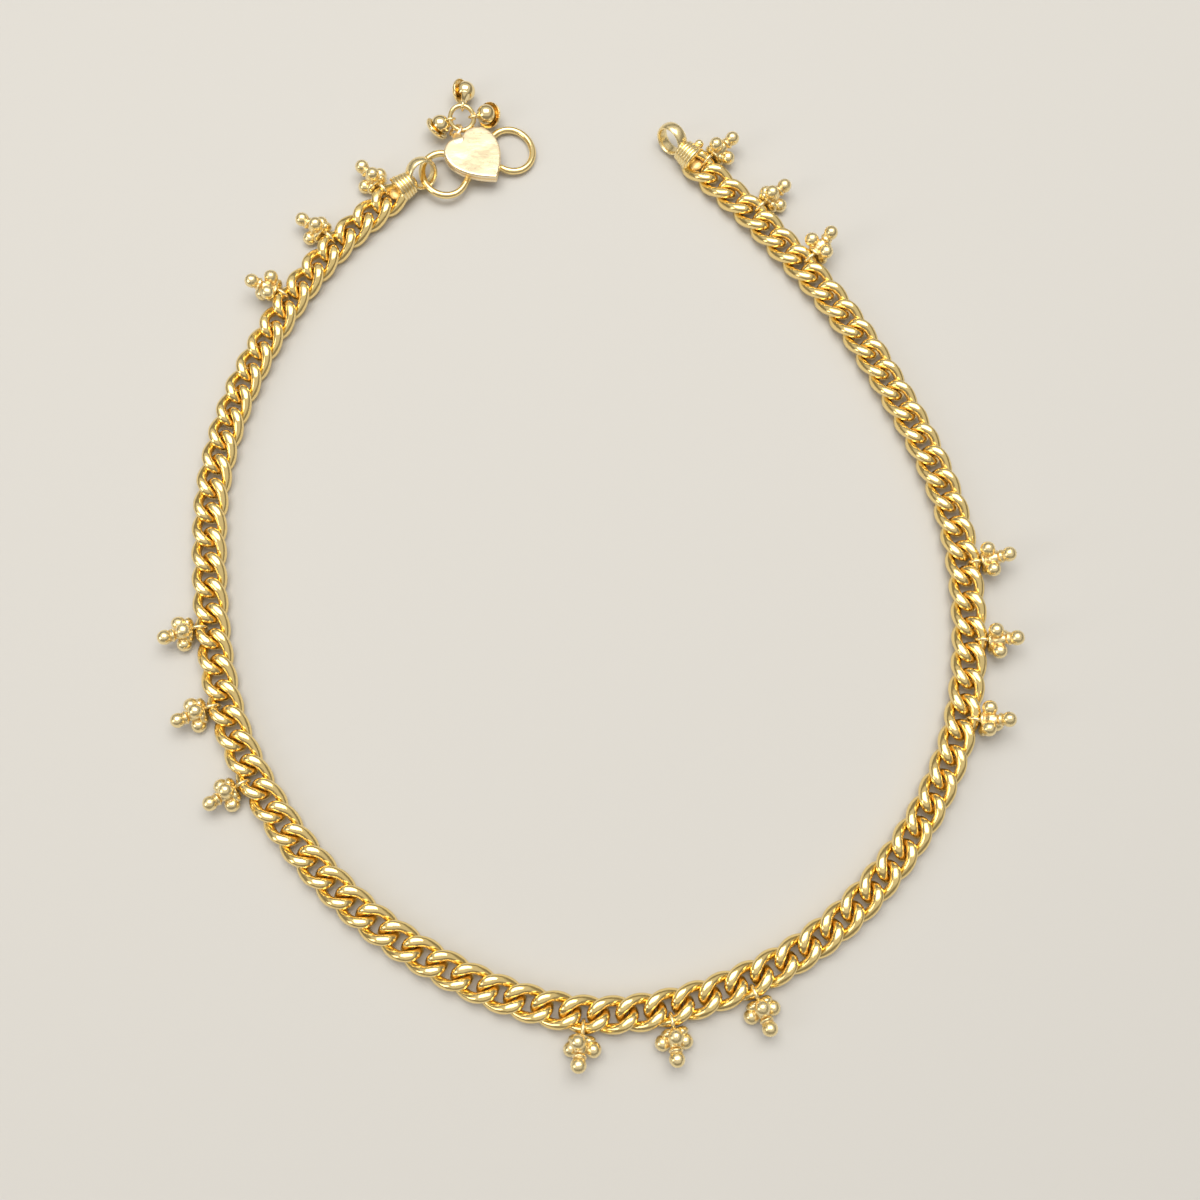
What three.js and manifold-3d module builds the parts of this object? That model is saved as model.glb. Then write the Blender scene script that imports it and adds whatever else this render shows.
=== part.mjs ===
// Charm anklet: an open loop of twisted curb chain with fifteen granule charms on its outer side, an end cap
// with a band ring at each end, and an S-hook clasp with a heart plate and three drops on a ring.
// Millimetres, +Z up. The anklet lies on the plane z = 0, with its two ends towards +Y.

import * as THREE from "three";
import { mergeVertices } from "three/addons/utils/BufferGeometryUtils.js";
import Module from "manifold-3d";

const wasm = await Module();
wasm.setup();

const deg = THREE.MathUtils.degToRad;

// ---------------------------------------------------------------- driving dimensions

// The chain's centreline, seen from above, from its left end round to its right end.
const CHAIN_ROUTE = [
  { x: -21.5, y: 42 },
  { x: -30, y: 33 },
  { x: -36, y: 23 },
  { x: -40, y: 11.5 },
  { x: -41, y: 0 },
  { x: -36.5, y: -23 },
  { x: -21.5, y: -41.5 },
  { x: 1, y: -50.5 },
  { x: 23.5, y: -43 },
  { x: 38, y: -24 },
  { x: 40, y: -0.5 },
  { x: 31, y: 22 },
  { x: 20.5, y: 36.5 },
  { x: 11.5, y: 46 },
];

const LINK_COUNT = 87;
const LINK_PITCH = 2.83;
const LINK_WIDTH = 3.8;
const WIRE = 0.95; // diameter of the link's wire
const LINK_TWIST = deg(50); // a link's ends lean this far out of the flat, one each way
const FIRST_LINK = 2; // from the start of the route to the first link's centre
// Near the middle of the loop the links are drawn along a little.
const SLACK = { shift: 0.75, middle: 0.47, spread: 0.17 };
const FUSED = 0.2; // how deep joined links sink into each other
const FREE_GAP = 0.3; // between solids that only touch on the real anklet
const SECTION_COUNT = 10;

const LINK_STEPS = 8;
const WIRE_SIDES = 4;

// Charms hang on these links, counted from the left end cap's link, which is 0.
// along: how far the body sits to one side of its eye; swing: turned from square to the chain;
// roll: where the first of the three balls stands from straight up.
const CHARMS = [
  { link: 0, along: -0.25, swing: -2, roll: 0 },
  { link: 3, along: -0.25, swing: 8, roll: 0 },
  { link: 6, along: 0.25, swing: 18, roll: 45 },
  { link: 20, along: 0, swing: 12, roll: 10 },
  { link: 23, along: -0.25, swing: 8, roll: 5 },
  { link: 26, along: -0.25, swing: 4, roll: 0 },
  { link: 41, along: -0.25, swing: -2, roll: -15 },
  { link: 44, along: -0.25, swing: -6, roll: 5 },
  { link: 47, along: -0.25, swing: -2, roll: 0 },
  { link: 60, along: 0.25, swing: 10, roll: -55 },
  { link: 63, along: 0, swing: 2, roll: 35 },
  { link: 66, along: -0.25, swing: 2, roll: 45 },
  { link: 80, along: 0, swing: 8, roll: -55 },
  { link: 83, along: 0.25, swing: 0, roll: 0 },
  { link: 86, along: -0.25, swing: -6, roll: 15 },
];

const EYE = { wire: 0.28, gap: 0.25 }; // ring of a charm round the link's wire
const BALL_R = 0.8;
const BALL_RING_R = 1.3; // the three balls stand this far from the charm's axis
const BALLS_AT = 1.8; // along the charm's axis, from the eye's centre
const TIP_AT = 3.65;

// Half-profile of a charm's core, from the cap at the eye to the neck of the tip ball.
const CHARM_CORE = [
  { at: 0.74, r: 0 },
  { at: 0.74, r: 0.6 },
  { at: 0.85, r: 0.98 },
  { at: 1.1, r: 0.98 },
  { at: 1.3, r: 0.62 },
  { at: 1.8, r: 0.76 },
  { at: 2.6, r: 0.45 },
  { at: 2.7, r: 0.74 },
  { at: 2.95, r: 0.74 },
  { at: 3.6, r: 0.35 },
  { at: 3.6, r: 0 },
];

// End caps, along the chain's direction from the centre of the soldered end link.
const COLLAR = { from: 1.4, to: 3.2, wideR: 1.6, narrowR: 1.3, height: 1.62 };
const RIBS = { count: 4, depth: 0.22, flat: 0.4 }; // flat: the level share of a rib's pitch
const BAND_RING = { height: 2.0, outerR: 1.9, innerR: 1.4, width: 1.5, outerBevel: 0.5, innerBevel: 0.35 };
// turn: the collar and ring out of line with the chain; at: the ring's centre; lean: its axis from upright.
const LEFT_CAP = { name: "left_end_cap", side: -1, turn: deg(-8), at: 4.4, lean: deg(62) };
const RIGHT_CAP = { name: "right_end_cap", side: 1, turn: 0, at: 4.7, lean: deg(75) };
const GRANULE = { at: 1.9, out: 1.5, up: 0.55, r: 0.45 };

// S-hook clasp: two wire loops joined by a slanting stretch, with the heart over it.
const HOOK = { x: -13, y: 45.3, z: 1.0, turn: deg(25), tilt: deg(4.5) };
const HOOK_WIRE = 0.8;
const HOOK_LOOP = { along: 2.5, across: 2.9 }; // half-sizes of each loop
const HOOK_LOOP_AT = 4.25; // each loop's centre from the middle of the S
const HOOK_OPEN_END = deg(46);
const HOOK_BODY_END = deg(311);
const HEART = { length: 7.3, width: 6.5, notch: 0.75, bottom: 0.25, thickness: 1.2, turn: deg(-76) };
// One side of the heart as two Bezier stretches: [share of the length, share of the half-width].
const HEART_BENDS = [
  { leave: [-0.03, 0.16], reach: [-0.03, 0.95], end: [0.3, 1] },
  { leave: [0.62, 1.02], reach: [0.86, 0.42], end: [1, 0] },
];
const BAIL = { r: 0.68, wire: 0.44, tabR: 0.5, tabRoot: 0.5 };

const TASSEL_RING = { x: -14.85, y: 50.35, z: 2.3, r: 1.35, wire: 0.46, facing: [0.1, -0.5, 0.86] };

// The three drops on the tassel ring: a ball before a shallow saucer. facing points from saucer to ball,
// and toEye points from the ring's centre to where the drop's eye goes round the ring.
const DROPS = [
  { name: "drop_top", ball: [-14.6, 54.4, 1.7], facing: [0.96, -0.1, 0.2], toEye: [0.1, 1] },
  { name: "drop_right", ball: [-12.05, 51.2, 1.76], facing: [-0.35, -0.6, 0.72], toEye: [1, 0.15] },
  { name: "drop_left", ball: [-17.4, 49.75, 1.82], facing: [0.75, 0.4, 0.5], toEye: [-0.8, -0.45] },
];
const DROP = { ballR: 1.15, stubR: 0.45, stubLength: 0.6, neckR: 0.38, eyeR: 0.54, eyeWire: 0.3 };
const SAUCER = { rimR: 1.52, sag: 0.5, wall: 0.24, seat: 0.82 };

// Brings the middle of the whole over the origin and its lowest point down to z = 0.
const CENTRING = { x: -0.23, y: -0.02, z: -0.02 };

// ---------------------------------------------------------------- materials

const GOLD = { color: 0xd9a83c, roughness: 0.2, metalness: 1 };
const goldMaterial = () => new THREE.MeshStandardMaterial(GOLD);

// ---------------------------------------------------------------- solids

const Z_AXIS = new THREE.Vector3(0, 0, 1);
const Y_AXIS = new THREE.Vector3(0, 1, 0);

// A closed mesh with shared vertices merged and collapsed triangles left out, as a solid.
function solid(geometry) {
  const bare = geometry.clone();
  bare.deleteAttribute("normal");
  bare.deleteAttribute("uv");
  const merged = mergeVertices(bare, 1e-4);
  const corners = merged.index.array;
  const triVerts = [];
  for (let i = 0; i < corners.length; i += 3) {
    const [a, b, c] = corners.slice(i, i + 3);
    if (a !== b && b !== c && c !== a) triVerts.push(a, b, c);
  }
  const mesh = new wasm.Mesh({
    numProp: 3,
    vertProperties: new Float32Array(merged.attributes.position.array),
    triVerts: new Uint32Array(triVerts),
  });
  return new wasm.Manifold(mesh);
}

// Several closed geometries joined into one body.
function joined(geometries) {
  const whole = geometries.map(solid).reduce((sum, next) => sum.add(next));
  const mesh = whole.getMesh();
  const geometry = new THREE.BufferGeometry();
  geometry.setAttribute("position", new THREE.BufferAttribute(mesh.vertProperties, 3));
  geometry.setIndex(new THREE.BufferAttribute(mesh.triVerts, 1));
  return geometry;
}

function piece(name, geometry, matrix = new THREE.Matrix4()) {
  const mesh = new THREE.Mesh(geometry, goldMaterial());
  mesh.name = name;
  matrix.decompose(mesh.position, mesh.quaternion, mesh.scale);
  return mesh;
}

// A frame at a place, with its X and Z directions given; Y follows.
function frameAt(origin, xDirection, zDirection = Z_AXIS) {
  const x = xDirection.clone().normalize();
  const y = new THREE.Vector3().crossVectors(zDirection, x).normalize();
  const z = new THREE.Vector3().crossVectors(x, y);
  return new THREE.Matrix4().makeBasis(x, y, z).setPosition(origin);
}

const moved = (geometry, matrix) => geometry.clone().applyMatrix4(matrix);
const shift = (x, y, z) => new THREE.Matrix4().makeTranslation(x, y, z);

// A ring of round wire about the given axis.
function wireRing(radius, wire, center, axis, steps = 10, sides = 4) {
  const ring = new THREE.TorusGeometry(radius, wire / 2, sides, steps);
  ring.applyQuaternion(new THREE.Quaternion().setFromUnitVectors(Z_AXIS, axis.clone().normalize()));
  return ring.translate(center.x, center.y, center.z);
}

// A turned body about local X: the profile is a list of { at, r } along X.
function turned(profile, steps) {
  const outline = profile.map(({ at, r }) => new THREE.Vector2(r, at));
  return new THREE.LatheGeometry(outline, steps).rotateZ(-Math.PI / 2);
}

// A bar of round wire along a curve. A full circle gets twice as many sides as curveSegments.
function roundBar(curve, wire, steps, sides) {
  const section = new THREE.Shape();
  section.absarc(0, 0, wire / 2, 0, 2 * Math.PI, false);
  return new THREE.ExtrudeGeometry(section, { steps, extrudePath: curve, curveSegments: sides / 2 });
}

// A straight rod from one point towards another, which it stops short of.
function rodBetween(start, end, radius, short = 0) {
  const reach = end.clone().sub(start);
  const length = reach.length() - short;
  const rod = new THREE.CylinderGeometry(radius, radius, length, 6).translate(0, length / 2, 0);
  rod.applyQuaternion(new THREE.Quaternion().setFromUnitVectors(Y_AXIS, reach.normalize()));
  return rod.translate(start.x, start.y, start.z);
}

// ---------------------------------------------------------------- chain

const linkHalfWidth = (LINK_WIDTH - WIRE) / 2; // to the wire's centre

// A link's wire: an oval whose plane twists from one side of the flat to the other along the chain.
class LinkCurve extends THREE.Curve {
  constructor(reachBack, reachAhead) {
    super();
    this.reachBack = reachBack;
    this.reachAhead = reachAhead;
  }

  getPoint(t, target = new THREE.Vector3()) {
    const turn = 2 * Math.PI * t;
    const along = Math.cos(turn);
    const across = linkHalfWidth * Math.sin(turn);
    const twist = -LINK_TWIST * along;
    const reach = along > 0 ? this.reachAhead : this.reachBack;
    return target.set(reach * along, across * Math.cos(twist), across * Math.sin(twist));
  }
}

// Half-length of a link: joined links overlap by FUSED, and free ones keep FREE_GAP.
const fusedReach = (LINK_PITCH + WIRE - FUSED) / 2;
const freeReach = (LINK_PITCH + WIRE + FREE_GAP) / 2;

function link(reachBack, reachAhead) {
  const curve = new LinkCurve(reachBack, reachAhead);
  return new THREE.TubeGeometry(curve, LINK_STEPS, WIRE / 2, WIRE_SIDES, true);
}

// The chain lies flat: the lowest point of its twisted wire touches z = 0.
const wireRise = Math.max(...new LinkCurve(fusedReach, fusedReach).getPoints(60).map(({ z }) => z));
const chainHeight = wireRise + WIRE / 2;

const routePoints = CHAIN_ROUTE.map(({ x, y }) => new THREE.Vector3(x, y, chainHeight));
const route = new THREE.CatmullRomCurve3(routePoints, false, "centripetal");
route.arcLengthDivisions = 1000;
const routeLength = route.getLength();

// The frame of a link: X along the chain towards the right end, Z up.
function linkFrame(index) {
  const even = (FIRST_LINK + index * LINK_PITCH) / routeLength;
  const drawn = SLACK.shift * Math.exp(-(((even - SLACK.middle) / SLACK.spread) ** 2));
  const u = even + drawn / routeLength;
  return frameAt(route.getPointAt(u), route.getTangentAt(u));
}

function chainSections() {
  const inner = LINK_COUNT - 2; // the first and last link belong to the end caps
  const firstOf = (section) => 1 + Math.round((section * inner) / SECTION_COUNT);
  return Array.from({ length: SECTION_COUNT }, (_, section) => {
    const first = firstOf(section);
    const last = firstOf(section + 1) - 1;
    const links = [];
    for (let k = first; k <= last; k += 1) {
      const back = k === first ? freeReach : fusedReach;
      const ahead = k === last ? freeReach : fusedReach;
      links.push(moved(link(back, ahead), linkFrame(k)));
    }
    return piece(`chain_section_${String(section + 1).padStart(2, "0")}`, joined(links));
  });
}

// ---------------------------------------------------------------- charms

const ball = (radius) => new THREE.SphereGeometry(radius, 6, 4);

// A charm about its eye's centre: X out from the chain, Y along it, Z up.
function charm({ along, swing, roll }) {
  const eyeR = WIRE / 2 + EYE.gap + EYE.wire / 2;
  const eye = wireRing(eyeR, EYE.wire, new THREE.Vector3(), new THREE.Vector3(0, 1, 0));
  const balls = [0, 1, 2].map((n) => {
    const angle = deg(roll) + (n * 2 * Math.PI) / 3;
    const across = BALL_RING_R * Math.sin(angle);
    const up = BALL_RING_R * Math.cos(angle);
    return { across, up };
  });
  const lowest = Math.max(...balls.map(({ up }) => -up)) + BALL_R;
  const slope = Math.asin((lowest - chainHeight) / BALLS_AT); // the lowest ball rests on z = 0
  const body = [
    turned(CHARM_CORE, 6),
    ball(BALL_R).translate(TIP_AT, 0, 0),
    ...balls.map(({ across, up }) => ball(BALL_R).translate(BALLS_AT, across, up)),
  ];
  const lean = shift(0, along, 0).multiply(new THREE.Matrix4().makeRotationZ(deg(swing)));
  lean.multiply(new THREE.Matrix4().makeRotationY(-slope));
  return joined([eye, ...body.map((geometry) => moved(geometry, lean))]);
}

function charmPieces() {
  return CHARMS.map((row, n) => {
    const frame = linkFrame(row.link);
    const outward = new THREE.Vector3().setFromMatrixColumn(frame, 1).negate();
    const center = new THREE.Vector3(0, -linkHalfWidth, 0).applyMatrix4(frame);
    const name = `charm_${String(n + 1).padStart(2, "0")}`;
    return piece(name, charm(row), frameAt(center, outward));
  });
}

// ---------------------------------------------------------------- end caps

// A collar of ribs that narrows towards its ring.
function collarProfile() {
  const { from, to, wideR, narrowR } = COLLAR;
  const { count, depth, flat } = RIBS;
  const profile = [{ at: from, r: 0 }];
  const pitch = (to - from) / count;
  const rise = (pitch * (1 - flat)) / 2;
  for (let rib = 0; rib < count; rib += 1) {
    const at = from + rib * pitch;
    const r = THREE.MathUtils.lerp(wideR, narrowR, rib / (count - 1));
    profile.push({ at, r: r - depth }, { at: at + rise, r }, { at: at + pitch - rise, r });
  }
  profile.push({ at: to, r: narrowR - depth }, { at: to, r: 0 });
  return profile;
}

function bandRing({ side, at, lean }) {
  const { height, outerR, innerR, width, outerBevel, innerBevel } = BAND_RING;
  const half = width / 2;
  const middleR = (outerR + innerR) / 2;
  const outline = [
    [innerR, -half + innerBevel],
    [middleR, -half],
    [outerR, -half + outerBevel],
    [outerR, half - outerBevel],
    [middleR, half],
    [innerR, half - innerBevel],
    [innerR, -half + innerBevel],
  ].map(([r, z]) => new THREE.Vector2(r, z));
  const axis = new THREE.Vector3(0, side * Math.sin(lean), Math.cos(lean));
  const band = new THREE.LatheGeometry(outline, 14);
  band.applyQuaternion(new THREE.Quaternion().setFromUnitVectors(Y_AXIS, axis));
  return band.translate(at, 0, height - chainHeight);
}

// An end cap about its soldered link's centre: X away from the chain. side is which way its ring faces.
function endCap(cap, frame, extras = []) {
  const rise = COLLAR.height - chainHeight;
  const fittings = [turned(collarProfile(), 12).translate(0, 0, rise), bandRing(cap), ...extras];
  const swing = new THREE.Matrix4().makeRotationZ(cap.turn);
  const parts = [link(freeReach, fusedReach), ...fittings.map((geometry) => moved(geometry, swing))];
  return piece(cap.name, joined(parts), frame);
}

function endCaps() {
  const leftFrame = linkFrame(0).multiply(new THREE.Matrix4().makeRotationZ(Math.PI));
  const { at, out, up, r } = GRANULE;
  const granule = ball(r).translate(at, -out, COLLAR.height - chainHeight + up);
  return [endCap(LEFT_CAP, leftFrame), endCap(RIGHT_CAP, linkFrame(LINK_COUNT - 1), [granule])];
}

// ---------------------------------------------------------------- clasp

// The S of the hook: round the left loop, across under the heart, and back round the right loop.
class HookCurve extends THREE.Curve {
  constructor() {
    super();
    const arc = ((HOOK_LOOP.along + HOOK_LOOP.across) / 2) * (HOOK_BODY_END - HOOK_OPEN_END);
    this.loopEnd = this.onLoop(HOOK_BODY_END);
    const across = 2 * this.loopEnd.length();
    this.arcShare = arc / (2 * arc + across);
  }

  onLoop(angle) {
    return new THREE.Vector3(
      -HOOK_LOOP_AT + HOOK_LOOP.along * Math.cos(angle),
      HOOK_LOOP.across * Math.sin(angle),
      0,
    );
  }

  getPoint(t, target = new THREE.Vector3()) {
    if (t > 0.5) return this.getPoint(1 - t, target).negate();
    if (t > this.arcShare) {
      const back = (0.5 - t) / (0.5 - this.arcShare);
      return target.copy(this.loopEnd).multiplyScalar(back);
    }
    const angle = THREE.MathUtils.lerp(HOOK_OPEN_END, HOOK_BODY_END, t / this.arcShare);
    return target.copy(this.onLoop(angle));
  }
}

// Heart outline: X from the middle towards the tip, with its notch at the other end.
function heartShape() {
  const { length, width, notch } = HEART;
  const top = -length / 2;
  const at = ([down, wide], side) => [top + down * length, (side * wide * width) / 2];
  const [lobe, flank] = HEART_BENDS;
  const shape = new THREE.Shape();
  shape.moveTo(top + notch, 0);
  shape.bezierCurveTo(...at(lobe.leave, 1), ...at(lobe.reach, 1), ...at(lobe.end, 1));
  shape.bezierCurveTo(...at(flank.leave, 1), ...at(flank.reach, 1), ...at(flank.end, 1));
  shape.bezierCurveTo(...at(flank.reach, -1), ...at(flank.leave, -1), ...at(lobe.end, -1));
  shape.bezierCurveTo(...at(lobe.reach, -1), ...at(lobe.leave, -1), top + notch, 0);
  return shape;
}

const hookFrame = frameAt(
  new THREE.Vector3(HOOK.x, HOOK.y, HOOK.z),
  new THREE.Vector3(
    Math.cos(HOOK.turn) * Math.cos(HOOK.tilt),
    Math.sin(HOOK.turn) * Math.cos(HOOK.tilt),
    -Math.sin(HOOK.tilt),
  ),
);

// Where the tassel ring's wire runs in the direction of a point, and which way it runs there.
function onTasselRing(toX, toY) {
  const facing = new THREE.Vector3(...TASSEL_RING.facing).normalize();
  const across = new THREE.Vector3(toX, toY, 0);
  across.z = -(facing.x * toX + facing.y * toY) / facing.z;
  across.normalize();
  const center = new THREE.Vector3(TASSEL_RING.x, TASSEL_RING.y, TASSEL_RING.z);
  const place = center.addScaledVector(across, TASSEL_RING.r);
  return { place, direction: new THREE.Vector3().crossVectors(facing, across) };
}

const bailSeat = onTasselRing(-0.3, -1);

function sHook() {
  const heart = new THREE.ExtrudeGeometry(heartShape(), {
    depth: HEART.thickness,
    bevelEnabled: false,
    curveSegments: 6,
  });
  heart.rotateZ(HEART.turn).translate(0, 0, HEART.bottom);
  const wire = roundBar(new HookCurve(), HOOK_WIRE, 44, 6);
  const toLocal = hookFrame.clone().invert();
  const bail = wireRing(BAIL.r, BAIL.wire, bailSeat.place, bailSeat.direction).applyMatrix4(toLocal);
  const notch = new THREE.Vector3(
    HEART.notch + BAIL.tabRoot - HEART.length / 2,
    0,
    HEART.bottom + HEART.thickness / 2,
  );
  notch.applyAxisAngle(Z_AXIS, HEART.turn);
  const tab = rodBetween(notch, bailSeat.place.clone().applyMatrix4(toLocal), BAIL.tabR, BAIL.r);
  return piece("s_hook", joined([wire, heart, bail, tab]), hookFrame);
}

function tasselRing() {
  const center = new THREE.Vector3(TASSEL_RING.x, TASSEL_RING.y, TASSEL_RING.z);
  const facing = new THREE.Vector3(...TASSEL_RING.facing);
  const ring = wireRing(TASSEL_RING.r, TASSEL_RING.wire, new THREE.Vector3(), facing, 16, 5);
  return piece("tassel_ring", ring, shift(center.x, center.y, center.z));
}

// A saucer about the ball's centre, opening towards +Y.
function saucerGeometry() {
  const { rimR, sag, wall, seat } = SAUCER;
  const halfProfile = [
    [0, -seat - sag],
    [rimR * 0.6, -seat - sag * 0.64],
    [rimR, -seat],
    [rimR - wall * 0.4, -seat + wall],
    [rimR * 0.5, -seat - sag * 0.75 + wall],
    [0, -seat - sag + wall],
  ].map(([r, y]) => new THREE.Vector2(r, y));
  return new THREE.LatheGeometry(halfProfile, 12);
}

// A drop about its ball's centre: a stub to the saucer behind the ball, and a neck with an eye.
function drop({ name, ball: place, facing, toEye }) {
  const { ballR, stubR, stubLength, neckR, eyeR, eyeWire } = DROP;
  const turn = new THREE.Quaternion().setFromUnitVectors(Y_AXIS, new THREE.Vector3(...facing).normalize());
  const saucer = saucerGeometry().applyQuaternion(turn);
  const stub = new THREE.CylinderGeometry(stubR, stubR, stubLength, 6);
  stub.translate(0, -ballR, 0).applyQuaternion(turn);
  const ballCenter = new THREE.Vector3(...place);
  const eye = onTasselRing(...toEye);
  const eyeCenter = eye.place.clone().sub(ballCenter);
  const neck = rodBetween(new THREE.Vector3(), eyeCenter, neckR, eyeR);
  const ring = wireRing(eyeR, eyeWire, eyeCenter, eye.direction);
  const geometry = joined([saucer, stub, ball(ballR), neck, ring]);
  return piece(name, geometry, shift(ballCenter.x, ballCenter.y, ballCenter.z));
}

// ---------------------------------------------------------------- the anklet

const anklet = new THREE.Group();
anklet.add(...chainSections(), ...charmPieces(), ...endCaps(), sHook(), tasselRing(), ...DROPS.map(drop));
anklet.position.set(CENTRING.x, CENTRING.y, CENTRING.z);

export default anklet;
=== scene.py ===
import math

import bmesh
import bpy
from mathutils import Matrix, Vector, noise


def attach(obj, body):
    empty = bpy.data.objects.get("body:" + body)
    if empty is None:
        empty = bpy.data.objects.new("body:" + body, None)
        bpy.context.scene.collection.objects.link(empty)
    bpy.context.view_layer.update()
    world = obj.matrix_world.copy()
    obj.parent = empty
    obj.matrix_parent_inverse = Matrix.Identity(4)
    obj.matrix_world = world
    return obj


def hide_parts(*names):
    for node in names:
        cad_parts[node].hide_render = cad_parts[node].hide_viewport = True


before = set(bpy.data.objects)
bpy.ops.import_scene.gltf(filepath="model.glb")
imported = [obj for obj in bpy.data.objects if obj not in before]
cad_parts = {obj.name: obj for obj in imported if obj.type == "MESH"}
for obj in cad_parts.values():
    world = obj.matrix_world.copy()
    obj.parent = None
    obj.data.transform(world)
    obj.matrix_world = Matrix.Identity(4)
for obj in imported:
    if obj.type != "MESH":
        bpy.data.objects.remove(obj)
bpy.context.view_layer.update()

UP = Vector((0, 0, 1))
TO_METRES = Matrix.Scale(0.001, 4)
CENTRING = Matrix.Translation((-0.23, -0.02, -0.02))

# ------------------------------------------------------------------ sizes

# The chain's centreline from above, from its left end round to its right end.
CHAIN_ROUTE = [
    (-21.5, 42),
    (-30, 33),
    (-36, 23),
    (-40, 11.5),
    (-41, 0),
    (-36.5, -23),
    (-21.5, -41.5),
    (1, -50.5),
    (23.5, -43),
    (38, -24),
    (40, -0.5),
    (31, 22),
    (20.5, 36.5),
    (11.5, 46),
]
LINK_COUNT = 87
LINK_PITCH = 2.83
LINK_WIDTH = 3.8
WIRE = 0.95
WIRE_SHOWN = 1.12  # the finished wire, worn to a close fit where links meet
LINK_TWIST = math.radians(50)
LINK_PLAY = 0.08  # how much longer at each end a link is than a taut chain needs
# half a link, from its centre to the wire's centre line at its end
LINK_REACH = (LINK_PITCH + WIRE_SHOWN) / 2 + LINK_PLAY
LINK_HALF_WIDTH = (LINK_WIDTH - WIRE_SHOWN) / 2
LINK_FULLNESS = 0.84  # 1 for an oval, less for straighter sides
# how much of the upper and lower wire is filed, and the share of it that stays
FILED_DEEP, FILED_LEFT = 0.12, 0.25
CHAIN_CLEARANCE = 0.07  # room under the chain for the links that lean
LINK_LOOSENESS = math.radians(1.2)
FIRST_LINK = 2
# how far the links near the middle have slid along the chain, and where, as shares of its length
SLACK_SHIFT, SLACK_MIDDLE, SLACK_SPREAD = 0.75, 0.47, 0.17

# link, sideways place on it, swing out of square, roll of the three balls
CHARMS = [
    (0, -0.25, -2, 0),
    (3, -0.25, 8, 0),
    (6, 0.25, 18, 45),
    (20, 0, 12, 10),
    (23, -0.25, 8, 5),
    (26, -0.25, 4, 0),
    (41, -0.25, -2, -15),
    (44, -0.25, -6, 5),
    (47, -0.25, -2, 0),
    (60, 0.25, 10, -55),
    (63, 0, 2, 35),
    (66, -0.25, 2, 45),
    (80, 0, 8, -55),
    (83, 0.25, 0, 0),
    (86, -0.25, -6, 15),
]
CHARMS_IN_GROUP = 3
EYE_WIRE, EYE_GAP = 0.42, 0.16
CAP_LOBE = {"at": 1.03, "side": 0.68, "half": Vector((0.5, 0.72, 0.9))}
CHARM_UNEVENNESS = 0.08
CHARM_RISE = 0.02
BALL_R, BALL_RING_R, BALLS_AT, TIP_AT = 0.8, 1.3, 1.8, 3.65
# place along the charm and radius there
CHARM_CORE = [
    (0.8, 0.0),
    (0.8, 0.5),
    (0.84, 0.8),
    (0.95, 0.93),
    (1.08, 0.9),
    (1.18, 0.8),
    (1.3, 0.64),
    (1.8, 0.76),
    (2.35, 0.56),
    (2.6, 0.46),
    (2.66, 0.62),
    (2.74, 0.72),
    (2.83, 0.75),
    (2.92, 0.72),
    (3.0, 0.6),
    (3.1, 0.42),
    (3.6, 0.35),
    (3.6, 0.0),
]

COLLAR = {"start": 1.4, "stop": 3.2, "wide": 1.6, "narrow": 1.3, "height": 1.62}
COLLAR_TIP = [(0.08, 0.8), (0.25, 0.45), (0.3, 0.0)]  # how far past the collar, and the core's radius there
COIL = {"turns": 5.1, "wire": 0.42, "sunk": 0.16, "start": 0.85, "phase": 0.6, "wander": 0.04, "steps": 260}
BAND = {"height": 2.0, "outer": 1.9, "inner": 1.4, "width": 1.5, "edge": 0.14}
LEFT_END = {"side": -1, "turn": math.radians(-8), "at": 4.4, "lean": math.radians(62)}
RIGHT_END = {"side": 1, "turn": 0.0, "at": 4.7, "lean": math.radians(75)}
SOLDER = {"at": 0.7, "half": Vector((0.75, 0.82, 0.34)), "hollow": 0.75}
GRANULE = {"at": 1.9, "out": 1.62, "up": 0.6, "r": 0.52}

HOOK = {"at": (-13, 45.3, 1.0), "turn": math.radians(25), "tilt": math.radians(4.5)}
HOOK_WIRE = 0.8
HOOK_ALONG, HOOK_ACROSS, HOOK_LOOP_AT = 2.5, 2.9, 4.25
HOOK_OPEN_END, HOOK_BODY_END = math.radians(37), math.radians(311)
HEART = {"length": 7.3, "width": 6.5, "notch": 0.75, "bottom": 0.25, "thick": 1.2, "turn": math.radians(-76)}
# the finish paints shade into this groove through its hollow mark
HEART_GROOVE = 0.5, 0.7  # how far over its back the groove round its side starts and stops
# facing is how far the eye turns along the tassel ring's wire and how far it lies flat;
# root and edge are places on the heart's upper face, from its notch
BAIL = {
    "r": 0.72,
    "wire": 0.46,
    "to": (-0.5, -0.87),
    "off": 0.2,
    "thick": 0.36,
    "wide": 1.6,
    "narrowing": 0.5,
    "rounding": 0.7,
    "sunk": 0.05,
    "facing": (0.7, 0.72),
    "root": (0.5, -0.5, -0.13),
    "edge": (-0.2, -0.5, -0.1),
}
TASSEL = {"at": Vector((-14.85, 50.35, 2.3)), "r": 1.38, "wire": 0.56, "facing": Vector((0.1, -0.5, 0.86))}
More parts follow.
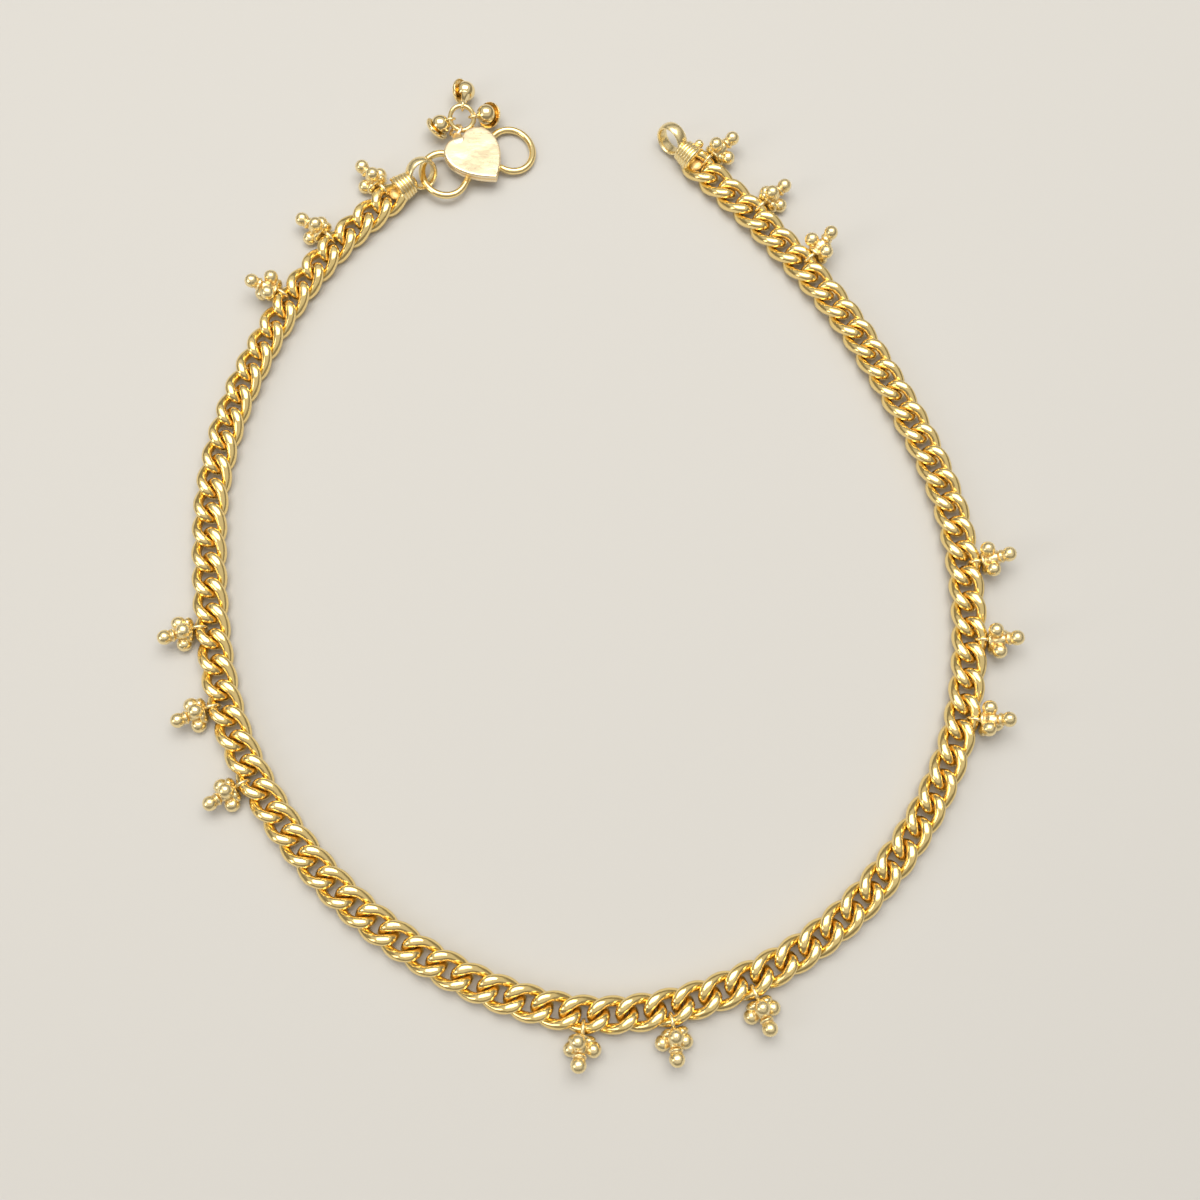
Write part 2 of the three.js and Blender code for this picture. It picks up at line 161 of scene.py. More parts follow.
# piece, place, the way the ball faces, the way from the tassel ring's middle to its eye
DROPS = [
    ("drop_top", (-14.6, 54.4, 1.7), (0.88, -0.15, 0.45), (0.1, 1)),
    ("drop_right", (-12.05, 51.2, 1.76), (-0.5, -0.35, 0.79), (1, 0.15)),
    ("drop_left", (-17.4, 49.75, 1.82), (0.72, 0.45, 0.53), (-0.99, -0.14)),
]
DROP = {"ball": 1.15, "neck": 0.36, "neck_root": 2.6, "neck_taper": 1.7, "eye": 0.54, "eye_wire": 0.32}
STUB = {"r": 0.45, "tip": 0.2, "back": -1.38, "edge": -1.3, "front": -0.7}
SAUCER = {"rim": 1.52, "sag": 0.68, "wall": 0.17, "seat": 0.62}

# ------------------------------------------------------------------ how hollows are marked

# The hollow mark makes each finish paint shade into creases through its deep colour, and makes them duller.
HOLLOW_BIAS = 0.02  # how hollow a flat place counts as
HOLLOW_GAIN = 7.0  # depth for each unit that the neighbours rise above a place
HOLLOW_KEPT = 0.4  # the share of its own depth that a place keeps each time depth spreads
HOLLOW_REACH = 1.6  # the gain once it has spread

# ------------------------------------------------------------------ node trees


class Value:
    """A socket in a node tree that Python's operators can be used on."""

    def __init__(self, tree, socket):
        self.tree, self.socket = tree, socket

    def _with(self, operation, other=None, swap=False):
        a, b = (other, self) if swap else (self, other)
        vector = any(isinstance(v, Value) and v.is_vector() for v in (a, b))
        kind = "ShaderNodeVectorMath" if vector else "ShaderNodeMath"
        values = [v for v in (a, b) if v is not None]
        return self.tree.add(kind, {"operation": operation}, dict(enumerate(values)))

    def is_vector(self):
        return self.socket.type in ("VECTOR", "RGBA")

    def __add__(self, other):
        return self._with("ADD", other)

    def __radd__(self, other):
        return self._with("ADD", other, swap=True)

    def __sub__(self, other):
        return self._with("SUBTRACT", other)

    def __rsub__(self, other):
        return self._with("SUBTRACT", other, swap=True)

    def __mul__(self, other):
        if self.is_vector() and isinstance(other, (int, float)):
            return self.tree.add("ShaderNodeVectorMath", {"operation": "SCALE"}, {0: self, "Scale": other})
        return self._with("MULTIPLY", other)

    __rmul__ = __mul__

    def __truediv__(self, other):
        return self._with("DIVIDE", other)

    def __pow__(self, other):
        return self._with("POWER", other)

    def __neg__(self):
        return self * -1.0

    def cos(self):
        return self._with("COSINE")

    def sin(self):
        return self._with("SINE")

    def exp(self):
        return self._with("EXPONENT")

    def sign(self):
        return self._with("SIGN")

    def size(self):
        return self._with("ABSOLUTE")

    def largest(self, other):
        return self._with("MAXIMUM", other)

    def smallest(self, other):
        return self._with("MINIMUM", other)

    def eased(self, low, high):
        """0 up to low, 1 from high, and a smooth rise between."""
        settings = {"interpolation_type": "SMOOTHSTEP"}
        return self.tree.add("ShaderNodeMapRange", settings, {"Value": self, 1: low, 2: high})


class Tree:
    """A node tree that is written as expressions."""

    def __init__(self, nodes_of):
        self.made = nodes_of

    def add(self, kind, settings=None, inputs=None, out=0):
        node = self.made.nodes.new(kind)
        for name, value in (settings or {}).items():
            setattr(node, name, value)
        for key, value in (inputs or {}).items():
            socket = node.inputs[key]
            if isinstance(value, Value):
                self.made.links.new(value.socket, socket)
            else:
                socket.default_value = value
        return Value(self, node.outputs[out]) if len(node.outputs) else node

    def mix(self, share, low, high):
        """One colour passing into another."""
        inputs = {"Factor": share, 6: low, 7: high}
        return self.add("ShaderNodeMix", {"data_type": "RGBA"}, inputs, out=2)


class MakingTree(Tree):
    """A Geometry Nodes tree with named inputs for its sizes."""

    def __init__(self, name, sizes):
        super().__init__(bpy.data.node_groups.new(name, "GeometryNodeTree"))
        sockets = self.made.interface
        sockets.new_socket("Geometry", in_out="INPUT", socket_type="NodeSocketGeometry")
        sockets.new_socket("Geometry", in_out="OUTPUT", socket_type="NodeSocketGeometry")
        for size, kind in sizes.items():
            sockets.new_socket(size, in_out="INPUT", socket_type="NodeSocket" + kind)
        self.entry = self.made.nodes.new("NodeGroupInput")

    def given(self, name):
        return Value(self, self.entry.outputs[name])

    def end(self, geometry, material):
        """Realize the instances, smooth them, give them their finish and hand them out."""
        real = self.add("GeometryNodeRealizeInstances", None, {"Geometry": geometry})
        smooth = self.add("GeometryNodeSetShadeSmooth", None, {"Geometry": real, "Shade Smooth": True})
        done = self.add("GeometryNodeSetMaterial", None, {"Geometry": smooth, "Material": material})
        leave = self.made.nodes.new("NodeGroupOutput")
        self.made.links.new(done.socket, leave.inputs["Geometry"])
        return self.made


def grown(name, start, tree, sizes):
    """The plain mesh that a Geometry Nodes tree makes of a starting mesh, at the given sizes."""
    holder = bpy.data.objects.new(name + "_start", start)
    bpy.context.scene.collection.objects.link(holder)
    modifier = holder.modifiers.new("Making", "NODES")
    modifier.node_group = tree
    for socket in tree.interface.items_tree:
        if socket.in_out == "INPUT" and socket.name in sizes:
            modifier[socket.identifier] = sizes[socket.name]
    bpy.context.view_layer.update()
    shaped = holder.evaluated_get(bpy.context.evaluated_depsgraph_get())
    mesh = bpy.data.meshes.new_from_object(shaped)
    mesh.name = name
    holder.modifiers.remove(modifier)
    bpy.data.objects.remove(holder)
    return mesh


# ------------------------------------------------------------------ finishes

BUMP_DEPTH = 0.00003  # metres of relief for a height of 1


def gold(name, bright, deep, shine, pits=0.0, marks=0.0, brushed=0.0, grainy=0.15, lumpy=0.0, wavy=0.0):
    """Polished gold plating: its deep colour is painted shade in its hollows, mixed in with tone that varies at
    random, and with fine wear in the shine.

    The strengths that can be given are of cast pits, marks along drawn wire, brushing, grain, lumps of solder in the
    hollows and a wavy face.
    """
    material = bpy.data.materials.new(name)
    material.use_nodes = True
    t = Tree(material.node_tree)
    t.made.nodes.clear()

    def noise_in(where, scale, detail, roughness=0.5):
        inputs = {"Vector": where, "Scale": scale, "Detail": detail, "Roughness": roughness}
        return t.add("ShaderNodeTexNoise", None, inputs)

    place = t.add("ShaderNodeTexCoord", None, None, out="Object")
    hollow = t.add("ShaderNodeAttribute", {"attribute_name": "hollow"}, None, out="Fac")
    cloud = noise_in(place, 260.0, 3.0)
    grain = noise_in(place, 2600.0, 4.0, 0.65)
    pores = t.add("ShaderNodeTexVoronoi", None, {"Vector": place, "Scale": 1900.0}, out="Distance")

    # painted shade: the hollow mark darkens the colour in creases and recesses, and the cloud noise adds tone that
    # varies at random
    painted_shade_and_tone = hollow * 0.85 + (cloud - 0.5) * 0.5
    colour = t.mix(painted_shade_and_tone.eased(0.15, 0.85), bright, deep)
    dull = hollow.eased(0.1, 0.9)
    rough = shine + dull * 0.16 + (cloud - 0.5) * 0.1 + (grain - 0.5) * grainy
    height = grain * grainy + cloud * wavy
    if lumpy:
        height = height + noise_in(place, 1300.0, 2.0) * dull * lumpy
    if pits:
        height = height - (1.0 - pores.eased(0.0, 0.22)) * pits
    if marks:
        around = t.add("ShaderNodeAttribute", {"attribute_name": "round_wire"}, None, out="Vector")
        run = t.add("ShaderNodeAttribute", {"attribute_name": "along_wire"}, None, out="Vector")
        drawn = noise_in(around * 9.0 + run * 1.1, 1.0, 5.0)
        rough = rough + (drawn - 0.5) * 0.18
        height = height + drawn * marks
    if brushed:
        stretched = {"Vector": place, "Rotation": (0, 0, 0.5), "Scale": (300, 5200, 300)}
        strokes = noise_in(t.add("ShaderNodeMapping", None, stretched), 1.0, 4.0)
        rough = rough + (strokes - 0.5) * brushed
        height = height + strokes * brushed * 2.0
    relief = {"Strength": 0.35, "Distance": BUMP_DEPTH, "Height": height}
    bump = t.add("ShaderNodeBump", None, relief, out="Normal")
    surface = {
        "Base Color": colour,
        "Roughness": rough.largest(0.06).smallest(0.7),
        "Metallic": 1.0,
        "Normal": bump,
    }
    shader = t.add("ShaderNodeBsdfPrincipled", None, surface)
    t.add("ShaderNodeOutputMaterial", None, {"Surface": shader})
    return material


# The deep colour of each finish below is painted shade for its hollows, and also a tone that varies at random.
BRIGHT_GOLD = (0.99, 0.765, 0.33, 1)
DEEP_GOLD = (0.84, 0.53, 0.17, 1)
chain_gold = gold("Chain gold", BRIGHT_GOLD, (0.94, 0.67, 0.28, 1), 0.16, marks=0.6, lumpy=6.0)
cast_gold = gold("Cast gold", (0.99, 0.82, 0.45, 1), (0.86, 0.57, 0.21, 1), 0.27, pits=0.4)
wire_gold = gold("Clasp wire gold", (0.99, 0.78, 0.37, 1), DEEP_GOLD, 0.15, marks=0.3)
plate_wear = {"brushed": 0.05, "grainy": 0.02, "wavy": 14.0}
plate_gold = gold("Heart plate gold", (0.99, 0.83, 0.56, 1), (0.88, 0.58, 0.24, 1), 0.27, **plate_wear)
drop_gold = gold("Drop gold", (0.99, 0.81, 0.44, 1), (0.87, 0.64, 0.30, 1), 0.15)


# ------------------------------------------------------------------ where the chain runs


def spline_through(points, steps=60):
    """A close-stepped curve through the points, tightest where they are close together."""
    ends = [2 * points[0] - points[1], *points, 2 * points[-1] - points[-2]]
    curve = []
    for p0, p1, p2, p3 in zip(ends, ends[1:], ends[2:], ends[3:]):
        d0, d1, d2 = (math.sqrt((b - a).length) for a, b in ((p0, p1), (p1, p2), (p2, p3)))
        leave = ((p1 - p0) / d0 - (p2 - p0) / (d0 + d1) + (p2 - p1) / d1) * d1
        reach = ((p2 - p1) / d1 - (p3 - p1) / (d1 + d2) + (p3 - p2) / d2) * d1
        for step in range(steps):
            s = step / steps
            cube, square = 2 * s**3 - 3 * s**2, s**3 - 2 * s**2 + s
            curve.append((cube + 1) * p1 + square * leave - cube * p2 + (s**3 - s**2) * reach)
    curve.append(points[-1])
    return curve


def full(share, fullness):
    """A sine or cosine pushed outwards, which squares an oval a little."""
    return math.copysign(abs(share) ** fullness, share)


def rest_height(half_width, wire, fullness):
    """How high the middle of a twisted link is when its lowest wire lies on the floor."""
    rises = []
    for a in (math.tau * n / 120 for n in range(120)):
        along, across = full(math.cos(a), fullness), full(math.sin(a), fullness)
        rises.append(half_width * across * math.sin(-LINK_TWIST * along))
    return max(rises) + wire / 2


CHAIN_HEIGHT = rest_height((LINK_WIDTH - WIRE) / 2, WIRE, 1)
FILED_AT = rest_height(LINK_HALF_WIDTH, WIRE_SHOWN, LINK_FULLNESS) - FILED_DEEP
CHAIN_LIFT = FILED_AT + FILED_DEEP * FILED_LEFT + CHAIN_CLEARANCE - CHAIN_HEIGHT
route = spline_through([Vector((x, y, CHAIN_HEIGHT)) for x, y in CHAIN_ROUTE])
run_to = [0.0]
for here, there in zip(route, route[1:]):
    run_to.append(run_to[-1] + (there - here).length)


def frame_at(origin, x_direction, z_direction=UP):
    """A frame at a place, with its X and Z directions given."""
    x = Vector(x_direction).normalized()
    y = Vector(z_direction).cross(x).normalized()
    z = x.cross(y)
    turn = Matrix((x, y, z)).transposed().to_4x4()
    return Matrix.Translation(origin) @ turn


def link_frame(index):
    """The frame of a link: X along the chain towards its right end, Z up."""
    even = (FIRST_LINK + index * LINK_PITCH) / run_to[-1]
    run = even * run_to[-1] + SLACK_SHIFT * math.exp(-(((even - SLACK_MIDDLE) / SLACK_SPREAD) ** 2))
    n = next(n for n, reached in enumerate(run_to) if reached > run) - 1
    share = (run - run_to[n]) / (run_to[n + 1] - run_to[n])
    return frame_at(route[n].lerp(route[n + 1], share), route[n + 1] - route[n])


# ------------------------------------------------------------------ shaping


def swept(points, radius, sides=14, closed=False, hollow=0.0):
    """Round wire along points, closed in a ring or finished with rounded ends.

    radius is one for the whole wire, or a list with one for each point.
    """
    bm = bmesh.new()
    mark = bm.verts.layers.float.new("hollow")
    radii = radius if isinstance(radius, (list, tuple)) else [radius] * len(points)
    count = len(points)
    normal = None
    rings = []
    for n, point in enumerate(points):
        before = points[n - 1] if closed or n else point
        after = points[(n + 1) % count] if closed or n < count - 1 else point
        along = (after - before).normalized()
        if normal is None:
            normal = along.orthogonal().normalized()
            first = normal
        normal = (normal - along * normal.dot(along)).normalized()
        rings.append((point, along, normal, radii[n]))
    if closed:
        # spread the turn that is left over the whole ring
        along = rings[0][1]
        last = (normal - along * normal.dot(along)).normalized()
        left = math.atan2(last.cross(first).dot(along), last.dot(first))
        rings = [(p, a, Matrix.Rotation(left * n / count, 3, a) @ u, r) for n, (p, a, u, r) in enumerate(rings)]
    else:
        rings = rounded(rings[0], -1) + rings + rounded(rings[-1], 1)
    loops = []
    for point, along, normal, r in rings:
        side = along.cross(normal)
        loop = []
        for k in range(sides):
            turn = math.tau * k / sides
            loop.append(bm.verts.new(point + r * (math.cos(turn) * normal + math.sin(turn) * side)))
            # hollow sets how much painted shade the finish gives this wire
            loop[-1][mark] = hollow
        loops.append(loop)
    pairs = list(zip(loops, loops[1:] + (loops[:1] if closed else [])))
    for near, far in pairs:
        for k in range(sides):
            bm.faces.new((near[k], near[(k + 1) % sides], far[(k + 1) % sides], far[k]))
    if not closed:
        for loop, (point, along, _, r), way in ((loops[0], rings[0], -1), (loops[-1], rings[-1], 1)):
            tip = bm.verts.new(point + along * way * r * 0.3)
            tip[mark] = hollow
            for k in range(sides):
                bm.faces.new((loop[k], loop[(k + 1) % sides], tip))
    bmesh.ops.recalc_face_normals(bm, faces=bm.faces)
    return bm


def rounded(ring, way, steps=4):
    """The rings that finish an end of wire in a dome."""
    point, along, normal, r = ring
    turns = [math.pi / 2 * n / (steps + 1) for n in range(1, steps + 1)]
    rings = [(point + along * way * r * math.sin(a), along, normal, r * math.cos(a)) for a in turns]
    return rings[::-1] if way < 0 else rings


def turned(profile, sides=48):
    """A turned body about local X from a list of (place along X, radius)."""
    bm = bmesh.new()
    bm.verts.layers.float.new("hollow")
    verts = [bm.verts.new((at, r, 0)) for at, r in profile]
    edges = [bm.edges.new(pair) for pair in zip(verts, verts[1:])]
    bmesh.ops.spin(bm, geom=verts + edges, cent=(0, 0, 0), axis=(1, 0, 0), angle=math.tau, steps=sides)
    bmesh.ops.remove_doubles(bm, verts=bm.verts, dist=1e-4)
    bmesh.ops.recalc_face_normals(bm, faces=bm.faces)
    return bm


def ball(radius, at):
    bm = bmesh.new()
    bm.verts.layers.float.new("hollow")
    bmesh.ops.create_icosphere(bm, subdivisions=4, radius=radius, matrix=Matrix.Translation(at))
    return bm


def together(shapes):
    """Several shapes in one mesh. Each is a bmesh, or a bmesh and the frame it is laid in."""
    whole = bmesh.new()
    whole.verts.layers.float.new("hollow")
    for shape in shapes:
        bm, matrix = shape if isinstance(shape, tuple) else (shape, Matrix())
        bm.transform(matrix)
        part = bpy.data.meshes.new("part")
        bm.to_mesh(part)
        bm.free()
        whole.from_mesh(part)
        bpy.data.meshes.remove(part)
    return whole


def fused(name, shapes, voxel, rounds):
    """Shapes soldered into one skin: their joins fill in, and hollows are marked for the painted shade and duller
    shine of the finish.
    """
    mesh = bpy.data.meshes.new(name)
    whole = together(shapes)
    whole.to_mesh(mesh)
    whole.free()
    holder = bpy.data.objects.new(name, mesh)
    bpy.context.scene.collection.objects.link(holder)
    remesh = holder.modifiers.new("Solder", "REMESH")
    remesh.mode, remesh.voxel_size = "VOXEL", voxel
    smooth = holder.modifiers.new("Flow", "SMOOTH")
    smooth.factor, smooth.iterations = 0.5, rounds
    bpy.context.view_layer.update()
    made = bpy.data.meshes.new_from_object(holder.evaluated_get(bpy.context.evaluated_depsgraph_get()))
    bpy.data.objects.remove(holder)
    bpy.data.meshes.remove(mesh)
    bm = bmesh.new()
    bm.from_mesh(made)
    bpy.data.meshes.remove(made)
    bm.normal_update()
    mark_hollows(bm)
    return bm


def mark_hollows(bm, passes=6):
    """Marks how deep each place lies between its neighbours, from 0 on open skin to 1 in a crease."""
    mark = bm.verts.layers.float.get("hollow") or bm.verts.layers.float.new("hollow")
    bm.verts.ensure_lookup_table()
    depth = []
    for vert in bm.verts:
        near = [edge.other_vert(vert) for edge in vert.link_edges]
        rise = sum(vert.normal.dot((other.co - vert.co).normalized()) for other in near) / max(len(near), 1)
        depth.append(max(rise + HOLLOW_BIAS, 0.0) * HOLLOW_GAIN)
    for _ in range(passes):
        sums = [sum(depth[edge.other_vert(vert).index] for edge in vert.link_edges) for vert in bm.verts]
        depth = [
            HOLLOW_KEPT * own + (1 - HOLLOW_KEPT) * total / len(vert.link_edges)
            for own, total, vert in zip(depth, sums, bm.verts)
        ]
    for vert in bm.verts:
        vert[mark] = min(depth[vert.index] * HOLLOW_REACH, 1.0)


def piece(name, shape, material, nodes, matrix=Matrix()):
    """A finished piece in its place, standing for CAD nodes. The shape is a bmesh or a mesh, in millimetres."""
    if isinstance(shape, bmesh.types.BMesh):
        mesh = bpy.data.meshes.new(name)
        shape.to_mesh(mesh)
        shape.free()
    else:
        mesh = shape
    mesh.transform(TO_METRES @ CENTRING @ matrix)
    mesh.polygons.foreach_set("use_smooth", [True] * len(mesh.polygons))
    if not mesh.materials:
        mesh.materials.append(material)
    made = bpy.data.objects.new(name, mesh)
    bpy.context.scene.collection.objects.link(made)
    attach(made, "root")
    if nodes:
        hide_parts(*nodes)
    return made


def strip(line, wide, thick, corners=20):
    """A flat strip with rounded edges along a line. wide gives its width's direction and size at each point."""
    bm = bmesh.new()
    mark = bm.verts.layers.float.new("hollow")
    loops = []
    last = len(line) - 1
    for n, point in enumerate(line):
        along = (line[min(n + 1, last)] - line[max(n - 1, 0)]).normalized()
        side, width = wide[n]
        side = (side - along * side.dot(along)).normalized()
        out = along.cross(side)
        loop = []
        for k in range(corners):
            a = math.tau * k / corners
            x, y = full(math.cos(a), 0.35) * width / 2, full(math.sin(a), 0.7) * thick / 2
            vert = bm.verts.new(point + side * x + out * y)
            # a light mark of painted shade for the finish
            vert[mark] = 0.1
            loop.append(vert)
        loops.append(loop)
    for near, far in zip(loops, loops[1:]):
        for k in range(corners):
            bm.faces.new((near[k], near[(k + 1) % corners], far[(k + 1) % corners], far[k]))
    bm.faces.new(loops[0])
    bm.faces.new(loops[-1])
    bmesh.ops.recalc_face_normals(bm, faces=bm.faces)
    return bm


def smoothed(line, rounds):
    """The line with its corners eased and its ends kept."""
    for _ in range(rounds):
        line = [line[0], *[(a + b * 2 + c) / 4 for a, b, c in zip(line, line[1:], line[2:])], line[-1]]
    return line


def circle(radius, center, axis, count=40):
    """Points round a circle about an axis."""
    u = Vector(axis).orthogonal().normalized()
    v = Vector(axis).normalized().cross(u)
    turns = [math.tau * n / count for n in range(count)]
    return [Vector(center) + radius * (math.cos(a) * u + math.sin(a) * v) for a in turns]


# ------------------------------------------------------------------ chain


def links_tree():
    """Twisted links one after another along a line, each turned to face down the line."""
    sizes = {
        "Links": "Int",
        "First link at": "Float",
        "Pitch": "Float",
        "Slack": "Float",
        "Slack middle": "Float",
        "Slack spread": "Float",
        "Reach": "Float",
        "Half width": "Float",
        "Wire radius": "Float",
        "Twist": "Float",
        "Fullness": "Float",
        "Filed at": "Float",
        "Filed left": "Float",
        "Looseness": "Float",
        "Steps": "Int",
        "Sides": "Int",
        "Finish": "Material",
    }
    t = MakingTree("Curb links", sizes)

    def keep(geometry, name, value, kind="FLOAT_VECTOR"):
        stored = {"Geometry": geometry, "Name": name, "Value": value}
        return t.add("GeometryNodeStoreNamedAttribute", {"data_type": kind, "domain": "POINT"}, stored)

    # one link
    ring = t.add("GeometryNodeCurvePrimitiveCircle", None, {"Resolution": t.given("Steps"), "Radius": 1.0})
    at = t.add("GeometryNodeInputPosition")
    x, y = (t.add("ShaderNodeSeparateXYZ", None, {0: at}, out=axis) for axis in "XY")
    x, y = (v.sign() * v.size() ** t.given("Fullness") for v in (x, y))
    across = y * t.given("Half width")
    twist = -(x * t.given("Twist"))
    oval = {"X": x * t.given("Reach"), "Y": across * twist.cos(), "Z": across * twist.sin()}
    ring = keep(ring, "along_wire", at)
    place = t.add("ShaderNodeCombineXYZ", None, oval)
    ring = t.add("GeometryNodeSetPosition", None, {"Geometry": ring, "Position": place})
    section_sizes = {"Resolution": t.given("Sides"), "Radius": t.given("Wire radius")}
    section = t.add("GeometryNodeCurvePrimitiveCircle", None, section_sizes)
    section = keep(section, "round_wire", at / t.given("Wire radius"))
    link = t.add("GeometryNodeCurveToMesh", None, {"Curve": ring, "Profile Curve": section})
    # The inner side of each link is marked hollow: the finish paints shade there and dulls it.
    facing = t.add("GeometryNodeInputNormal")
    inward = t.add("ShaderNodeVectorMath", {"operation": "NORMALIZE"}, {0: at})
    both = {0: facing, 1: inward}
    turned_in = -t.add("ShaderNodeVectorMath", {"operation": "DOT_PRODUCT"}, both, out="Value")
    link = keep(link, "hollow", turned_in.eased(-0.1, 1.0), "FLOAT")
    height = t.add("ShaderNodeSeparateXYZ", None, {0: at}, out="Z")
    over = (height.size() - t.given("Filed at")).largest(0.0)
    taken = height.sign() * over * (1.0 - t.given("Filed left"))
    filed = t.add("ShaderNodeCombineXYZ", None, {"Z": -taken})
    link = t.add("GeometryNodeSetPosition", None, {"Geometry": link, "Offset": filed})

    # where each one goes
    line = t.add("GeometryNodeMeshToCurve", None, {"Mesh": t.given("Geometry")})
    length = t.add("GeometryNodeCurveLength", None, {"Curve": line})
    even = (t.add("GeometryNodeInputIndex") * t.given("Pitch") + t.given("First link at")) / length
    spread = (even - t.given("Slack middle")) / t.given("Slack spread")
    run = even * length + t.given("Slack") * (-(spread * spread)).exp()
    sampled = {"Curves": line, "Length": run}
    here, onward = (t.add("GeometryNodeSampleCurve", {"mode": "LENGTH"}, sampled, out=o) for o in (1, 2))
    points = t.add("GeometryNodePoints", None, {"Count": t.given("Links"), "Position": here})
    axes = {"primary_axis": "X", "secondary_axis": "Z"}
    facing = t.add("FunctionNodeAxesToRotation", axes, {0: onward, 1: (0, 0, 1)})
    most = t.add("ShaderNodeCombineXYZ", None, {axis: t.given("Looseness") for axis in "XYZ"})
    lean = t.add("FunctionNodeRandomValue", {"data_type": "FLOAT_VECTOR"}, {0: -most, 1: most, "Seed": 11})
    lean = t.add("FunctionNodeEulerToRotation", None, {0: lean})
    facing = t.add("FunctionNodeRotateRotation", {"rotation_space": "LOCAL"}, {0: facing, 1: lean})
    placed = {"Points": points, "Instance": link, "Rotation": facing}
    chain = t.add("GeometryNodeInstanceOnPoints", None, placed)
    return t.end(chain, t.given("Finish"))


LIFT = Matrix.Translation((0, 0, CHAIN_LIFT))
links = links_tree()
LINK_SIZES = {
    "Pitch": LINK_PITCH,
    "Slack middle": SLACK_MIDDLE,
    "Slack spread": SLACK_SPREAD,
    "Reach": LINK_REACH,
    "Half width": LINK_HALF_WIDTH,
    "Wire radius": WIRE_SHOWN / 2,
    "Twist": LINK_TWIST,
    "Fullness": LINK_FULLNESS,
    "Filed at": FILED_AT,
    "Filed left": FILED_LEFT,
    "Steps": 56,
    "Sides": 16,
    "Finish": chain_gold,
}


def line_mesh(name, points):
    """A mesh of edges from point to point, for a tree to follow."""
    mesh = bpy.data.meshes.new(name)
    mesh.from_pydata(points, [(n, n + 1) for n in range(len(points) - 1)], [])
    return mesh


def make_chain():
    sizes = {
        **LINK_SIZES,
        "Links": LINK_COUNT - 2,  # the first and last belong to the end caps
        "First link at": FIRST_LINK + LINK_PITCH,
        "Slack": SLACK_SHIFT,
        "Looseness": LINK_LOOSENESS,
    }
    mesh = grown("curb_chain", line_mesh("chain_line", route), links, sizes)
    sections = [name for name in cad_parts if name.startswith("chain_section")]
    return piece("curb_chain", mesh, chain_gold, sections, LIFT)


# ------------------------------------------------------------------ charms


CHARM_LIFT = Matrix.Translation((0, 0, CHARM_RISE))


def charm_places():
    """The frame of each charm's eye and of its body."""
    for link, along, swing, roll in CHARMS:
        chain = link_frame(link)
        outward = -chain.col[1].xyz
        eye = frame_at(chain @ Vector((0, -(LINK_WIDTH - WIRE) / 2, 0)), outward)
        turns = [math.radians(roll) + n * math.tau / 3 for n in range(3)]
        lowest = max(-BALL_RING_R * math.cos(a) for a in turns) + BALL_R
        slope = math.asin((lowest - CHAIN_HEIGHT) / BALLS_AT)
        lean = Matrix.Translation((0, along, 0)) @ Matrix.Rotation(math.radians(swing), 4, "Z")
        body = eye @ lean @ Matrix.Rotation(-slope, 4, "Y") @ Matrix.Rotation(-math.radians(roll), 4, "X")
        yield eye, body


def charm_body():
    """A charm about its eye's centre, X outwards: cap, three balls round a core, collar and tip ball."""
    balls = []
    for n in range(3):
        a = n * math.tau / 3
        balls.append(ball(BALL_R, (BALLS_AT, BALL_RING_R * math.sin(a), BALL_RING_R * math.cos(a))))
    core, tip = turned(CHARM_CORE), ball(BALL_R, (TIP_AT, 0, 0))
    return fused("charm", [core, tip, *balls], voxel=0.08, rounds=5)


def charm_eye():
    """The ring that holds a charm to its link, between the two lobes that cap the charm."""
    eye_r = WIRE / 2 + EYE_GAP + EYE_WIRE / 2
    ring = swept(circle(eye_r, (0, 0, 0), (0, 1, 0)), EYE_WIRE / 2, sides=10, closed=True)
    shape = Matrix.Diagonal(CAP_LOBE["half"]).to_4x4()
    places = [Matrix.Translation((CAP_LOBE["at"], side * CAP_LOBE["side"], 0)) for side in (-1, 1)]
    lobes = [(ball(1.0, (0, 0, 0)), place @ shape) for place in places]
    return fused("charm_eye", [ring, *lobes], voxel=0.06, rounds=3)


def charms_tree():
    """A body and an eye set at every point, each turned as the point says."""
    t = MakingTree("Charms", {"Body": "Object", "Eye": "Object", "Unevenness": "Float", "Finish": "Material"})
    shapes = []
    for part in ("Body", "Eye"):
        source = t.add("GeometryNodeObjectInfo", None, {"Object": t.given(part)}, out="Geometry")
        named = {"Name": "turn_" + part.lower()}
        angles = t.add("GeometryNodeInputNamedAttribute", {"data_type": "FLOAT_VECTOR"}, named)
        turn = t.add("FunctionNodeEulerToRotation", None, {0: angles})
        inputs = {"Points": t.given("Geometry"), "Instance": source, "Rotation": turn}
        shapes.append(t.add("GeometryNodeInstanceOnPoints", None, inputs))
    whole = t.made.nodes.new("GeometryNodeJoinGeometry")
    for shape in shapes:
        t.made.links.new(shape.socket, whole.inputs[0])
    real = t.add("GeometryNodeRealizeInstances", None, {"Geometry": Value(t, whole.outputs[0])})
    at = t.add("GeometryNodeInputPosition")
    lumps = t.add("ShaderNodeTexNoise", None, {"Vector": at, "Scale": 1.1, "Detail": 1.0})
    push = t.add("GeometryNodeInputNormal") * ((lumps - 0.5) * t.given("Unevenness"))
    uneven = t.add("GeometryNodeSetPosition", None, {"Geometry": real, "Offset": push})
    return t.end(uneven, t.given("Finish"))


